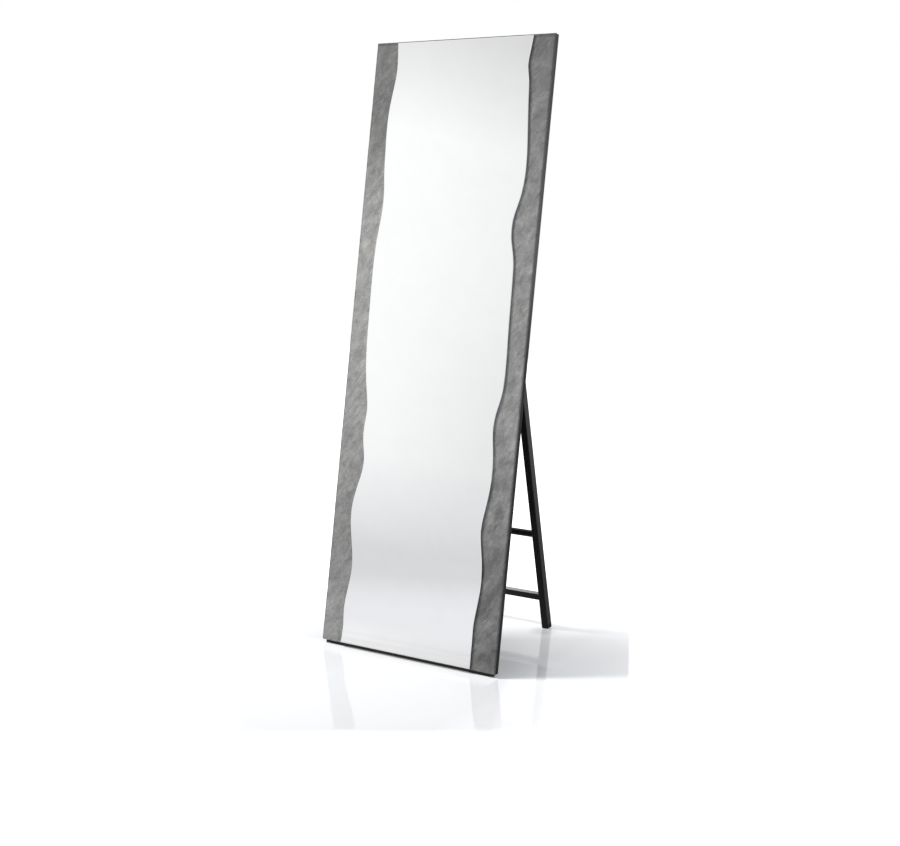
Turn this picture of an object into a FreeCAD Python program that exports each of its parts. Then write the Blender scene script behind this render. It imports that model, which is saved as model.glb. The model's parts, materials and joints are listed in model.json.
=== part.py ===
import FreeCAD, Part
import math
import os

# A standing mirror: a tall slate panel with a mirror glued on its front, whose
# sides are wavy, which leans back against a black ladder frame. The frame is
# hinged to the back of the panel and folds flat against it.
#
# Everything is drawn upright and folded: X runs across, Y to the rear and Z up,
# with the bottom rear edge of the panel on the X axis. The frame is then swung
# open about its hinges, and the whole mirror is leaned back onto the floor.
# Lengths are in millimetres and angles in degrees.

# Panel
panel_width = 600.0
panel_height = 1800.0
lean_angle = 10.2
board_thickness = 14.5
bed_thickness = 0.5
bed_edge_margin = 6.0
slate_thickness = 5.0
slate_arris = 0.8
tape_thickness = 0.8
tape_width = 25.0
tape_side_margin = 22.0
tape_end_margin = 30.0
tape_count = 4
film_thickness = 0.2
glass_thickness = 4.0
glass_bevel_width = 1.5
glass_bevel_depth = 1.0
glass_bottom_margin = 2.0
glass_top_margin = 3.5
band_thickness = 1.0
front_lift = 8.0

# Wavy sides of the mirror, each from its foot to its top:
# share of the mirror's height, and share of the panel's width in from the panel's side
left_wave_shares = (
    (0.000, 0.1165),
    (0.027, 0.122),
    (0.058, 0.118),
    (0.094, 0.131),
    (0.130, 0.142),
    (0.170, 0.126),
    (0.219, 0.108),
    (0.262, 0.129),
    (0.304, 0.1545),
    (0.347, 0.137),
    (0.392, 0.1445),
    (0.430, 0.128),
    (0.483, 0.1095),
    (0.556, 0.1035),
    (0.634, 0.102),
    (0.676, 0.109),
    (0.716, 0.123),
    (0.750, 0.125),
    (0.788, 0.115),
    (0.823, 0.110),
    (0.856, 0.107),
    (0.889, 0.111),
    (0.923, 0.125),
    (0.957, 0.136),
    (0.981, 0.132),
    (1.000, 0.127),
)
right_wave_shares = (
    (0.000, 0.131),
    (0.040, 0.132),
    (0.070, 0.132),
    (0.103, 0.121),
    (0.136, 0.1135),
    (0.170, 0.120),
    (0.198, 0.1345),
    (0.222, 0.141),
    (0.248, 0.132),
    (0.274, 0.119),
    (0.306, 0.1105),
    (0.341, 0.1155),
    (0.379, 0.1275),
    (0.406, 0.1195),
    (0.431, 0.101),
    (0.465, 0.0915),
    (0.530, 0.0955),
    (0.624, 0.101),
    (0.652, 0.108),
    (0.671, 0.121),
    (0.691, 0.130),
    (0.718, 0.123),
    (0.737, 0.107),
    (0.759, 0.092),
    (0.794, 0.085),
    (0.850, 0.0935),
    (0.905, 0.1065),
    (0.932, 0.114),
    (0.953, 0.1245),
    (0.975, 0.119),
    (1.000, 0.110),
)

# Bottom rail, its screws and its floor pads
rail_depth = 10.0
rail_end_margin = 8.5
pad_thickness = 1.5
pad_length = 70.0
pad_end_margin = 10.0
rail_screw_length = 30.0
rail_screw_radius = 2.0
rail_screw_head_radius = 3.8
rail_screw_sink = 3.0
rail_screw_end_margin = 110.0
rail_screw_count = 3

# Hinge batten on the back and its screws
batten_thickness = 15.0
batten_below_axis = 44.0
batten_above_axis = 42.0
batten_edge_round = 1.5
batten_screw_length = 24.0
batten_screw_radius = 2.0
batten_screw_head_radius = 4.0
batten_screw_end_margin = 24.0
batten_screw_edge_margin = 8.0
batten_screw_count = 3

# Hinges
hinge_axis_height = 1080.0
hinge_end_margin = 70.0
hinge_length = 60.0
knuckle_count = 5
barrel_radius = 2.7
barrel_clearance = 0.3
knuckle_gap = 0.3
pin_radius = 1.5
pin_running_clearance = 0.05
pin_end = 0.6
leaf_width = 22.0
leaf_thickness = 1.2
leaf_notch_gap = 0.4
leaf_screw_length = 14.0
leaf_screw_radius = 1.5
leaf_screw_head_radius = 2.7
leaf_screw_spacing = 21.0
leaf_screw_drop = 13.0
leaf_screw_count = 3

# Folding ladder frame
open_angle = 23.0
frame_width = 433.0
leg_width = 22.0
leg_depth = 26.0
leg_edge_round = 2.5
head_above_axis = 26.0
head_rail_below_axis = 40.0
head_rail_round = 2.0
upper_rung_radius = 10.5
upper_rung_rise = 308.0
lower_rung_height = 20.5
lower_rung_depth = 16.5
lower_rung_round = 1.5
lower_rung_rise = 95.0
dowel_radius = 3.0
dowel_length = 24.0
head_dowel_margin = 15.0

# Rubber feet
foot_length = 14.0
foot_round = 5.0
peg_radius = 4.0
peg_length = 12.0

# Shared by every edge, screw and cut
parallel_share = 0.999
screw_head_slope = 1.0
screw_tip_share = 1.5
recess_reach_share = 0.6
recess_width_share = 0.25
recess_depth_share = 0.5
cut_overrun = 20.0

# Planes of the upright panel, from the back forward
half_width = panel_width / 2
board_front = -board_thickness
slate_back = board_front - bed_thickness
slate_front = slate_back - slate_thickness
film_back = slate_front - tape_thickness
glass_back = film_back - film_thickness
glass_front = glass_back - glass_thickness
rail_front = -rail_depth
rail_reach = half_width - rail_end_margin
glass_bottom = front_lift + glass_bottom_margin
glass_top = panel_height - glass_top_margin
glass_height = glass_top - glass_bottom
band_inner = half_width - band_thickness
body_top = panel_height - band_thickness

# Hinge axis, measured on the upright panel
leaf_face_offset = barrel_radius + barrel_clearance
batten_rear = batten_thickness
axis_y = batten_rear + leaf_face_offset
axis_z = hinge_axis_height
leg_front = axis_y + leaf_face_offset
leg_rear = leg_front + leg_depth
leg_outer = frame_width / 2
leg_inner = leg_outer - leg_width
head_top = axis_z + head_above_axis

# Angles of the standing mirror
lean = math.radians(lean_angle)
splay = math.radians(open_angle - lean_angle)

x_axis = FreeCAD.Vector(1, 0, 0)
y_axis = FreeCAD.Vector(0, 1, 0)
z_axis = FreeCAD.Vector(0, 0, 1)
hinge_point = FreeCAD.Vector(0, axis_y, axis_z)
floor_edge = FreeCAD.Vector(0, 0, 0)


def box(x_low, x_high, y_low, y_high, z_low, z_high):
    corner = FreeCAD.Vector(x_low, y_low, z_low)
    return Part.makeBox(x_high - x_low, y_high - y_low, z_high - z_low, corner)


def eased(shape, direction, radius, chosen=None):
    """Round the edges that run along a direction, or only the chosen ones of them."""
    edges = []
    for edge in shape.Edges:
        start, end = edge.Vertexes[0].Point, edge.Vertexes[-1].Point
        run = (end - start).normalize()
        along = abs(run.dot(direction)) > parallel_share
        if along and (chosen is None or chosen(edge.CenterOfMass)):
            edges.append(edge)
    return shape.makeFillet(radius, edges)


def bevelled(shape, front, size):
    """Bevel every edge of the face that lies on the plane y = front."""
    edges = []
    for edge in shape.Edges:
        if max(abs(vertex.Y - front) for vertex in edge.Vertexes) < size / 2:
            edges.append(edge)
    return shape.makeChamfer(size, edges)


def side_prism(profile, x_low, x_high):
    """Extrude an outline of (y, z) points along X."""
    points = [FreeCAD.Vector(x_low, y, z) for y, z in profile]
    outline = Part.makePolygon(points + points[:1])
    return Part.Face(outline).extrude(x_axis * (x_high - x_low))


def group(solids):
    return Part.makeCompound(solids)


def evenly(count, spacing):
    """Places of a row of equal steps, centred on zero."""
    return [(index - (count - 1) / 2) * spacing for index in range(count)]


def swing_open(shape):
    turned = shape.copy()
    turned.rotate(hinge_point, x_axis, open_angle)
    return turned


def screw_body(head_point, outward, head_radius, shank_radius, length):
    """A countersunk screw without its recess, its flat head at head_point."""
    inward = outward * -1
    head_depth = (head_radius - shank_radius) * screw_head_slope
    tip_length = shank_radius * screw_tip_share
    neck = head_point + inward * head_depth
    tip = head_point + inward * (length - tip_length)
    head = Part.makeCone(head_radius, shank_radius, head_depth, head_point, inward)
    shank = Part.makeCylinder(shank_radius, length - head_depth - tip_length, neck, inward)
    point = Part.makeCone(shank_radius, 0, tip_length, tip, inward)
    return head.fuse([shank, point]).removeSplitter()


def screw(head_point, outward, head_radius, shank_radius, length):
    """The same screw with a cross recess in its head."""
    body = screw_body(head_point, outward, head_radius, shank_radius, length)
    reach = head_radius * recess_reach_share
    width = head_radius * recess_width_share
    depth = (head_radius - shank_radius) * screw_head_slope * recess_depth_share
    bars = []
    for long_side, short_side in ((reach, width / 2), (width / 2, reach)):
        bars.append(box(-long_side, long_side, -short_side, short_side, -depth, depth))
    cross = bars[0].fuse(bars[1])
    cross.Placement = FreeCAD.Placement(head_point, FreeCAD.Rotation(z_axis, outward))
    return body.cut(cross)


def countersink(shape, seats):
    """Cut the room of every screw in seats out of a piece."""
    return shape.cut([screw_body(*seat) for seat in seats])


# Screws: each seat is a head point, an outward direction and three sizes

def rail_screw_seats():
    seats = []
    middle = rail_front / 2
    under = middle * math.tan(lean) + pad_thickness / math.cos(lean)
    step = 2 * (rail_reach - rail_screw_end_margin) / (rail_screw_count - 1)
    for x in evenly(rail_screw_count, step):
        head_point = FreeCAD.Vector(x, middle, under + rail_screw_sink)
        size = (rail_screw_head_radius, rail_screw_radius, rail_screw_length)
        seats.append((head_point, z_axis * -1) + size)
    return seats


def batten_screw_seats():
    seats = []
    step = (frame_width - 2 * batten_screw_end_margin) / (batten_screw_count - 1)
    low_row = axis_z - batten_below_axis + batten_screw_edge_margin
    high_row = axis_z + batten_above_axis - batten_screw_edge_margin
    for z in (low_row, high_row):
        for x in evenly(batten_screw_count, step):
            head_point = FreeCAD.Vector(x, batten_rear, z)
            size = (batten_screw_head_radius, batten_screw_radius, batten_screw_length)
            seats.append((head_point, y_axis) + size)
    return seats


def leaf_screw_seats(centre, side):
    """Side is -1 for the leaf on the batten and 1 for the leaf on the head rail."""
    seats = []
    surface = axis_y + side * (leaf_face_offset - leaf_thickness)
    for x in evenly(leaf_screw_count, leaf_screw_spacing):
        head_point = FreeCAD.Vector(centre + x, surface, axis_z - leaf_screw_drop)
        size = (leaf_screw_head_radius, leaf_screw_radius, leaf_screw_length)
        seats.append((head_point, y_axis * -side) + size)
    return seats


hinge_reach = leg_inner - hinge_end_margin
hinge_centres = (-hinge_reach, hinge_reach)
fixed_leaf_seats = []
moving_leaf_seats = []
for centre in hinge_centres:
    fixed_leaf_seats += leaf_screw_seats(centre, -1)
    moving_leaf_seats += leaf_screw_seats(centre, 1)


# Panel

def back_board():
    board = box(-band_inner, band_inner, board_front, 0, front_lift, body_top)
    return countersink(board, rail_screw_seats() + batten_screw_seats())


def rail_underside(y):
    """Height of the rail's level-cut underside, on the upright panel."""
    return y * math.tan(lean) + pad_thickness / math.cos(lean)


def bottom_rail():
    profile = (
        (0, rail_underside(0)),
        (0, front_lift),
        (rail_front, front_lift),
        (rail_front, rail_underside(rail_front)),
    )
    rail = side_prism(profile, -rail_reach, rail_reach)
    bores = []
    for head_point, outward, head_radius, shank_radius, length in rail_screw_seats():
        bores.append(Part.makeCylinder(head_radius, cut_overrun, head_point, outward))
    return countersink(rail, rail_screw_seats()).cut(bores)


def floor_pads():
    """Pads between the level-cut underside of the rail and the floor."""
    profile = (
        (0, 0),
        (0, rail_underside(0)),
        (rail_front, rail_underside(rail_front)),
        (rail_front, rail_front * math.tan(lean)),
    )
    outer = rail_reach - pad_end_margin
    inner = outer - pad_length
    return group([side_prism(profile, -outer, -inner), side_prism(profile, inner, outer)])


def slate_bed():
    """Thin bed of adhesive between board and slate."""
    reach = band_inner - bed_edge_margin
    bottom, top = front_lift + bed_edge_margin, body_top - bed_edge_margin
    return box(-reach, reach, slate_back, board_front, bottom, top)


def slate_sheet():
    slate = box(-half_width, half_width, slate_front, slate_back, front_lift, panel_height)
    return bevelled(slate, slate_front, slate_arris)


def wavy_side(wave_shares, side, y, inset):
    """One side of the mirror's outline, a smooth curve from its foot to its top."""
    points = []
    for height_share, width_share in wave_shares:
        x = side * (half_width - width_share * panel_width - inset)
        z = glass_bottom + inset + height_share * (glass_height - 2 * inset)
        points.append(FreeCAD.Vector(x, y, z))
    wave = Part.BSplineCurve()
    wave.interpolate(points)
    return wave.toShape()


def mirror_outline(y, inset=0):
    left = wavy_side(left_wave_shares, -1, y, inset)
    right = wavy_side(right_wave_shares, 1, y, inset)
    top = Part.makeLine(left.Vertexes[-1].Point, right.Vertexes[-1].Point)
    bottom = Part.makeLine(right.Vertexes[0].Point, left.Vertexes[0].Point)
    return Part.Wire([left, top, right, bottom])


def mirror_slab(front, back):
    """A slab with the mirror's outline between two planes."""
    return Part.Face(mirror_outline(front)).extrude(y_axis * (back - front))


def mirror_glass():
    """The pane, with a narrow bevel round its front."""
    bevel_back = glass_front + glass_bevel_depth
    outlines = [mirror_outline(glass_front, glass_bevel_width), mirror_outline(bevel_back)]
    bevel = Part.makeLoft(outlines, True, True)
    return bevel.fuse(mirror_slab(bevel_back, glass_back)).removeSplitter()


def safety_film():
    return mirror_slab(glass_back, film_back)


def mirror_tape():
    """Upright strips of mounting tape, kept inside the narrowest part of the mirror."""
    widest_share = max(share for height, share in left_wave_shares + right_wave_shares)
    reach = half_width - widest_share * panel_width - tape_side_margin
    step = (2 * reach - tape_width) / (tape_count - 1)
    bottom, top = glass_bottom + tape_end_margin, glass_top - tape_end_margin
    strips = []
    for x in evenly(tape_count, step):
        strips.append(box(x - tape_width / 2, x + tape_width / 2, film_back, slate_front, bottom, top))
    return group(strips)


def edge_band_side(side):
    inner, outer = side * band_inner, side * half_width
    return box(min(inner, outer), max(inner, outer), slate_back, 0, front_lift, body_top)


def edge_band_top():
    return box(-half_width, half_width, slate_back, 0, body_top, panel_height)


def hinge_batten():
    bottom, top = axis_z - batten_below_axis, axis_z + batten_above_axis
    batten = box(-leg_outer, leg_outer, 0, batten_rear, bottom, top)
    batten = eased(batten, x_axis, batten_edge_round, lambda middle: middle.y > batten_rear / 2)
    return countersink(batten, batten_screw_seats() + fixed_leaf_seats)


# Hinges

def knuckles(centre, moving):
    """The X spans of the knuckles that belong to one leaf."""
    length = hinge_length / knuckle_count
    spans = []
    for index in range(knuckle_count):
        start = centre - hinge_length / 2 + index * length
        if index % 2 == 0 and not moving:
            spans.append((start, start + length))
        if index % 2 == 1 and moving:
            spans.append((start + knuckle_gap, start + length - knuckle_gap))
    return spans


def hinge_leaf(centre, side, bore_radius):
    face = axis_y + side * leaf_face_offset
    inner_face = face - side * leaf_thickness
    y_low, y_high = min(face, inner_face), max(face, inner_face)
    notch = axis_z - barrel_radius - leaf_notch_gap
    plate_low, plate_high = centre - hinge_length / 2, centre + hinge_length / 2
    leaf = box(plate_low, plate_high, y_low, y_high, axis_z - leaf_width, notch)
    for start, end in knuckles(centre, side > 0):
        middle = FreeCAD.Vector(start, axis_y, axis_z)
        tab = box(start, end, y_low, y_high, notch, axis_z)
        barrel = Part.makeCylinder(barrel_radius, end - start, middle, x_axis)
        leaf = leaf.fuse([tab, barrel])
    bore_start = FreeCAD.Vector(centre - hinge_length, axis_y, axis_z)
    leaf = leaf.cut(Part.makeCylinder(bore_radius, 2 * hinge_length, bore_start, x_axis))
    return countersink(leaf.removeSplitter(), leaf_screw_seats(centre, side))


def hinge_pin(centre):
    length = hinge_length + 2 * pin_end
    start = FreeCAD.Vector(centre - length / 2, axis_y, axis_z)
    return Part.makeCylinder(pin_radius, length, start, x_axis)


# Folding ladder frame, drawn folded against the back

def stop_cutter():
    """What the back's batten takes off the leg heads, so that they bear flat on it when open."""
    low, high = -leg_outer - cut_overrun, leg_outer + cut_overrun
    front, rear = axis_y - leg_depth - cut_overrun, batten_rear
    cutter = box(low, high, front, rear, axis_z, head_top + leg_depth + cut_overrun)
    cutter.rotate(hinge_point, x_axis, -open_angle)
    return cutter


def floor_height(y):
    """Height of the open frame's floor line, on the folded frame."""
    axis_rise = axis_z * math.cos(lean) - axis_y * math.sin(lean)
    return axis_z - (axis_rise + (y - axis_y) * math.sin(splay)) / math.cos(splay)


foot_bottom = floor_height(leg_rear)
foot_split = floor_height(leg_front) + foot_length
upper_rung_bottom = floor_height(leg_front) + upper_rung_rise
lower_rung_bottom = floor_height(leg_front) + lower_rung_rise
leg_middle = (leg_front + leg_rear) / 2


def dowel_seats():
    """Middle points of the dowels, at both ends of every rung and of the head rail."""
    heights = [
        upper_rung_bottom + upper_rung_radius,
        lower_rung_bottom + lower_rung_height / 2,
        axis_z - head_rail_below_axis + head_dowel_margin,
        axis_z + head_above_axis - head_dowel_margin,
    ]
    return [FreeCAD.Vector(side * leg_inner, leg_middle, z) for side in (-1, 1) for z in heights]


def dowels():
    pegs = []
    for seat in dowel_seats():
        start = seat - x_axis * (dowel_length / 2)
        pegs.append(Part.makeCylinder(dowel_radius, dowel_length, start, x_axis))
    return pegs


def leg_column(side, z_low, z_high):
    inner, outer = side * leg_inner, side * leg_outer
    column = box(min(inner, outer), max(inner, outer), leg_front, leg_rear, z_low, z_high)
    return eased(column, z_axis, leg_edge_round)


def foot_peg(side):
    middle = FreeCAD.Vector(side * (leg_inner + leg_outer) / 2, leg_middle, foot_split)
    return Part.makeCylinder(peg_radius, peg_length, middle, z_axis)


def leg(side):
    column = leg_column(side, foot_split, head_top)
    return column.cut(stop_cutter()).cut(dowels() + [foot_peg(side)])


def foot_cap(side):
    """A rubber end, cut level with the floor and rounded off to its sole on all four sides."""
    inner, outer = min(side * leg_inner, side * leg_outer), max(side * leg_inner, side * leg_outer)
    side_profile = (
        (leg_front, foot_split),
        (leg_rear, foot_split),
        (leg_rear, floor_height(leg_rear)),
        (leg_front, floor_height(leg_front)),
    )
    block = side_prism(side_profile, inner, outer)
    sole = min(block.Faces, key=lambda face: face.CenterOfMass.z)
    sides_along_x = [edge for edge in sole.Edges if edge.BoundBox.XLength > foot_round]
    sides_along_y = [edge for edge in sole.Edges if edge.BoundBox.XLength < foot_round]
    cap = block.makeFillet(foot_round, sides_along_x).common(block.makeFillet(foot_round, sides_along_y))
    cap = cap.common(leg_column(side, foot_bottom - cut_overrun, foot_split))
    return cap.fuse(foot_peg(side)).removeSplitter()


def head_rail():
    rail = box(-leg_inner, leg_inner, leg_front, leg_rear, axis_z - head_rail_below_axis, head_top)
    rail = eased(rail, x_axis, head_rail_round, lambda middle: middle.y > leg_middle)
    rail = rail.cut(stop_cutter()).cut(dowels())
    return countersink(rail, moving_leaf_seats)


def upper_rung():
    """A round bar between the legs."""
    start = FreeCAD.Vector(-leg_inner, leg_middle, upper_rung_bottom + upper_rung_radius)
    return Part.makeCylinder(upper_rung_radius, 2 * leg_inner, start, x_axis).cut(dowels())


def lower_rung():
    """A flat-topped bar between the legs."""
    front, rear = leg_middle - lower_rung_depth / 2, leg_middle + lower_rung_depth / 2
    top = lower_rung_bottom + lower_rung_height
    bar = box(-leg_inner, leg_inner, front, rear, lower_rung_bottom, top)
    return eased(bar, x_axis, lower_rung_round).cut(dowels())


panel_pieces = {
    "back_board": back_board(),
    "bottom_rail": bottom_rail(),
    "rail_screws": group([screw(*seat) for seat in rail_screw_seats()]),
    "floor_pads": floor_pads(),
    "slate_bed": slate_bed(),
    "slate_sheet": slate_sheet(),
    "mirror_glass": mirror_glass(),
    "safety_film": safety_film(),
    "mirror_tape": mirror_tape(),
    "edge_band_left": edge_band_side(-1),
    "edge_band_right": edge_band_side(1),
    "edge_band_top": edge_band_top(),
    "hinge_batten": hinge_batten(),
    "batten_screws": group([screw(*seat) for seat in batten_screw_seats()]),
    "fixed_leaf_screws": group([screw(*seat) for seat in fixed_leaf_seats]),
}
frame_pieces = {
    "leg_left": leg(-1),
    "leg_right": leg(1),
    "head_rail": head_rail(),
    "rung_upper": upper_rung(),
    "rung_lower": lower_rung(),
    "frame_dowels": group(dowels()),
    "foot_cap_left": foot_cap(-1),
    "foot_cap_right": foot_cap(1),
    "moving_leaf_screws": group([screw(*seat) for seat in moving_leaf_seats]),
}
for name, centre in zip(("left", "right"), hinge_centres):
    panel_pieces["hinge_" + name + "_fixed_leaf"] = hinge_leaf(centre, -1, pin_radius)
    panel_pieces["hinge_" + name + "_pin"] = hinge_pin(centre)
    moving_bore = pin_radius + pin_running_clearance
    frame_pieces["hinge_" + name + "_moving_leaf"] = hinge_leaf(centre, 1, moving_bore)

# Swing the frame open, lean everything back, and centre the footprint on the origin
pieces = dict(panel_pieces)
for name, shape in frame_pieces.items():
    pieces[name] = swing_open(shape)
for shape in pieces.values():
    shape.rotate(floor_edge, x_axis, -lean_angle)

whole = group(list(pieces.values())).optimalBoundingBox(False, False)
to_centre = FreeCAD.Vector(0, -(whole.YMin + whole.YMax) / 2, 0)
os.makedirs("parts", exist_ok=True)
for name, shape in pieces.items():
    shape.translate(to_centre)
    shape.exportStep("parts/" + name + ".step")

# Places that the record repeats, in millimetres
axis_at_rest = FreeCAD.Vector(
    0,
    axis_z * math.sin(lean) + axis_y * math.cos(lean) + to_centre.y,
    axis_z * math.cos(lean) - axis_y * math.sin(lean),
)
foot_front = axis_at_rest.y + leaf_face_offset * math.cos(splay)
foot_front -= (floor_height(leg_front) - axis_z) * math.sin(splay)
print("pieces", len(pieces), "solids", sum(len(shape.Solids) for shape in pieces.values()))
print("hinge axis at rest", axis_at_rest)
print("panel's rear bottom edge", to_centre.y, "leg's front edge on the floor", foot_front)
print("whole", whole)
for name, shape in pieces.items():
    print(name, len(shape.Solids), shape.isValid(), round(shape.Volume), shape.BoundBox)
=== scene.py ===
import json
import math

import bmesh
import bpy
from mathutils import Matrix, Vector, noise


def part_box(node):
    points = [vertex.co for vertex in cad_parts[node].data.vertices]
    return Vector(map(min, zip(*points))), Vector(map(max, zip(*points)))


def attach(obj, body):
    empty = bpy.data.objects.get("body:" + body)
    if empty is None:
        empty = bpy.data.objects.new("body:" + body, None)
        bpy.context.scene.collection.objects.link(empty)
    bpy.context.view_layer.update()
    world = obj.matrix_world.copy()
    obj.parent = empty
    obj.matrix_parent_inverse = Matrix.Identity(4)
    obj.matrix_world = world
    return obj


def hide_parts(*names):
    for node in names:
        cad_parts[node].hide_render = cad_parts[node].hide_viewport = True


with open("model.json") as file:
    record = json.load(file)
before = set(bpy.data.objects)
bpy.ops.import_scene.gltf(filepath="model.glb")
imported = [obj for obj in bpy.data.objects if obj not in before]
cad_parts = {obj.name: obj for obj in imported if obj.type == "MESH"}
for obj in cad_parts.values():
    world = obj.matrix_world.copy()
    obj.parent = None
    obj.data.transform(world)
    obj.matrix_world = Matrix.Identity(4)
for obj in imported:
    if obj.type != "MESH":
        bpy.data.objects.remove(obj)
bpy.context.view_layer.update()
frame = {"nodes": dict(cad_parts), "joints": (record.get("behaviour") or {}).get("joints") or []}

# Sizes of the panel, in metres, on the upright panel: X across, n to the rear, v up
mm = 0.001
lean = math.radians(10.2)
splay = math.radians(12.8)
panel_width = 600 * mm
panel_height = 1800 * mm
half_width = panel_width / 2
front_lift = 8 * mm
glass_bottom = 10 * mm
glass_top = 1796.5 * mm
slate_front = -20 * mm
slate_back = -15 * mm
glass_front = -25 * mm
glass_back = -21 * mm
hinge_axis_rear = 18 * mm
hinge_axis_height = 1080 * mm
lower_rung_height = 20.5 * mm

# Wavy sides of the mirror, each from its foot to its top:
# share of the mirror's height, and share of the panel's width in from the panel's side
left_wave_shares = (
    (0.000, 0.1165),
    (0.027, 0.122),
    (0.058, 0.118),
    (0.094, 0.131),
    (0.130, 0.142),
    (0.170, 0.126),
    (0.219, 0.108),
    (0.262, 0.129),
    (0.304, 0.1545),
    (0.347, 0.137),
    (0.392, 0.1445),
    (0.430, 0.128),
    (0.483, 0.1095),
    (0.556, 0.1035),
    (0.634, 0.102),
    (0.676, 0.109),
    (0.716, 0.123),
    (0.750, 0.125),
    (0.788, 0.115),
    (0.823, 0.110),
    (0.856, 0.107),
    (0.889, 0.111),
    (0.923, 0.125),
    (0.957, 0.136),
    (0.981, 0.132),
    (1.000, 0.127),
)
right_wave_shares = (
    (0.000, 0.131),
    (0.040, 0.132),
    (0.070, 0.132),
    (0.103, 0.121),
    (0.136, 0.1135),
    (0.170, 0.120),
    (0.198, 0.1345),
    (0.222, 0.141),
    (0.248, 0.132),
    (0.274, 0.119),
    (0.306, 0.1105),
    (0.341, 0.1155),
    (0.379, 0.1275),
    (0.406, 0.1195),
    (0.431, 0.101),
    (0.465, 0.0915),
    (0.530, 0.0955),
    (0.624, 0.101),
    (0.652, 0.108),
    (0.671, 0.121),
    (0.691, 0.130),
    (0.718, 0.123),
    (0.737, 0.107),
    (0.759, 0.092),
    (0.794, 0.085),
    (0.850, 0.0935),
    (0.905, 0.1065),
    (0.932, 0.114),
    (0.953, 0.1245),
    (0.975, 0.119),
    (1.000, 0.110),
)

# Mirror pane
wave_samples = 320
bevel_width = 1.5 * mm
bevel_depth = 1.0 * mm
edge_break = 0.3 * mm
pane_sharp_degrees = 8

# Slate sheet: its grid, its worn arris, and the low ledges and ripples of its riven face
strip_width = 102 * mm
grid_step = 3.5 * mm
arris_width = 0.9 * mm
arris_depth = 0.8 * mm
arris_wear_share = 0.4
inner_arris_share = 0.3
arris_wear_size = 9 * mm
cleft_angle = math.radians(58)
ledge_width = 13 * mm
ledge_length = 46 * mm
ledge_step = 0.16 * mm
ledge_levels = 5
ledge_contrast = 1.4
ledge_edge_start = 0.7
ledge_fractal = (0.9, 2.1, 3)
wander_size = 60 * mm
ripple_width = 7 * mm
ripple_length = 14 * mm
ripple_depth = 0.12 * mm
slate_sharp_degrees = 35

# Layers of the noise, so that no two patterns match
wander_layer = 7.0
ripple_layer = 3.0
arris_layer = 11.0

# Where the upright panel stands: its rear bottom edge, worked out from the hinge axis, and how
# high its top is
hinge = Vector(frame["joints"][0]["pos_m"])
edge_y = hinge.y - hinge_axis_height * math.sin(lean) - hinge_axis_rear * math.cos(lean)
panel_top = panel_height * math.cos(lean)


def on_panel(x, n, v):
    """A point of the upright panel, leaned back into the row frame."""
    y = edge_y + n * math.cos(lean) + v * math.sin(lean)
    return Vector((x, y, v * math.cos(lean) - n * math.sin(lean)))


def smooth_step(value, low, high):
    """From 0 at low to 1 at high, flat at both ends."""
    t = min(max((value - low) / (high - low), 0), 1)
    return t * t * (3 - 2 * t)


# Meshes

def new_piece(name, points, faces, sharp_degrees):
    """An object from points and faces, smooth but for edges sharper than an angle."""
    mesh = bpy.data.meshes.new(name)
    mesh.from_pydata(points, [], faces)
    shape = bmesh.new()
    shape.from_mesh(mesh)
    bmesh.ops.recalc_face_normals(shape, faces=shape.faces)
    shape.to_mesh(mesh)
    shape.free()
    for polygon in mesh.polygons:
        polygon.use_smooth = True
    mesh.set_sharp_from_angle(angle=math.radians(sharp_degrees))
    piece = bpy.data.objects.new(name, mesh)
    bpy.context.scene.collection.objects.link(piece)
    return piece


def spline(knots, samples):
    """Points at even steps of height on a natural cubic curve through (v, x) knots."""
    count = len(knots)
    gaps = [knots[i + 1][0] - knots[i][0] for i in range(count - 1)]
    slopes = [(knots[i + 1][1] - knots[i][1]) / gaps[i] for i in range(count - 1)]
    bends = [0.0] * count
    pivots = [1.0] * count
    rests = [0.0] * count
    for i in range(1, count - 1):
        pivots[i] = 2 * (gaps[i - 1] + gaps[i])
        rests[i] = 6 * (slopes[i] - slopes[i - 1])
        if i > 1:
            share = gaps[i - 1] / pivots[i - 1]
            pivots[i] -= share * gaps[i - 1]
            rests[i] -= share * rests[i - 1]
    for i in range(count - 2, 0, -1):
        bends[i] = (rests[i] - gaps[i] * bends[i + 1]) / pivots[i]
    made = []
    span = 0
    for index in range(samples + 1):
        v = knots[0][0] + (knots[-1][0] - knots[0][0]) * index / samples
        while span < count - 2 and v > knots[span + 1][0]:
            span += 1
        gap = gaps[span]
        up, down = (v - knots[span][0]) / gap, (knots[span + 1][0] - v) / gap
        x = down * knots[span][1] + up * knots[span + 1][1]
        x += ((down ** 3 - down) * bends[span] + (up ** 3 - up) * bends[span + 1]) * gap * gap / 6
        made.append((x, v))
    return made


def wavy_side(wave_shares, side):
    """One wavy side of the mirror, from its foot to its top; side is -1 for left and 1 for right."""
    knots = []
    for height_share, width_share in wave_shares:
        x = side * (half_width - width_share * panel_width)
        knots.append((glass_bottom + height_share * (glass_top - glass_bottom), x))
    return spline(knots, wave_samples)


def inset_outline(outline, distance):
    """The closed outline moved inward, each corner on the bisector of its two sides."""
    count = len(outline)
    moved = []
    for i in range(count):
        before, here, after = (Vector(outline[(i + k) % count]) for k in (-1, 0, 1))
        first, second = (here - before).normalized(), (after - here).normalized()
        inward = Vector((-first.y - second.y, first.x + second.x))
        inward *= 2 / inward.length_squared
        moved.append(here + inward * distance)
    return moved


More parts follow.
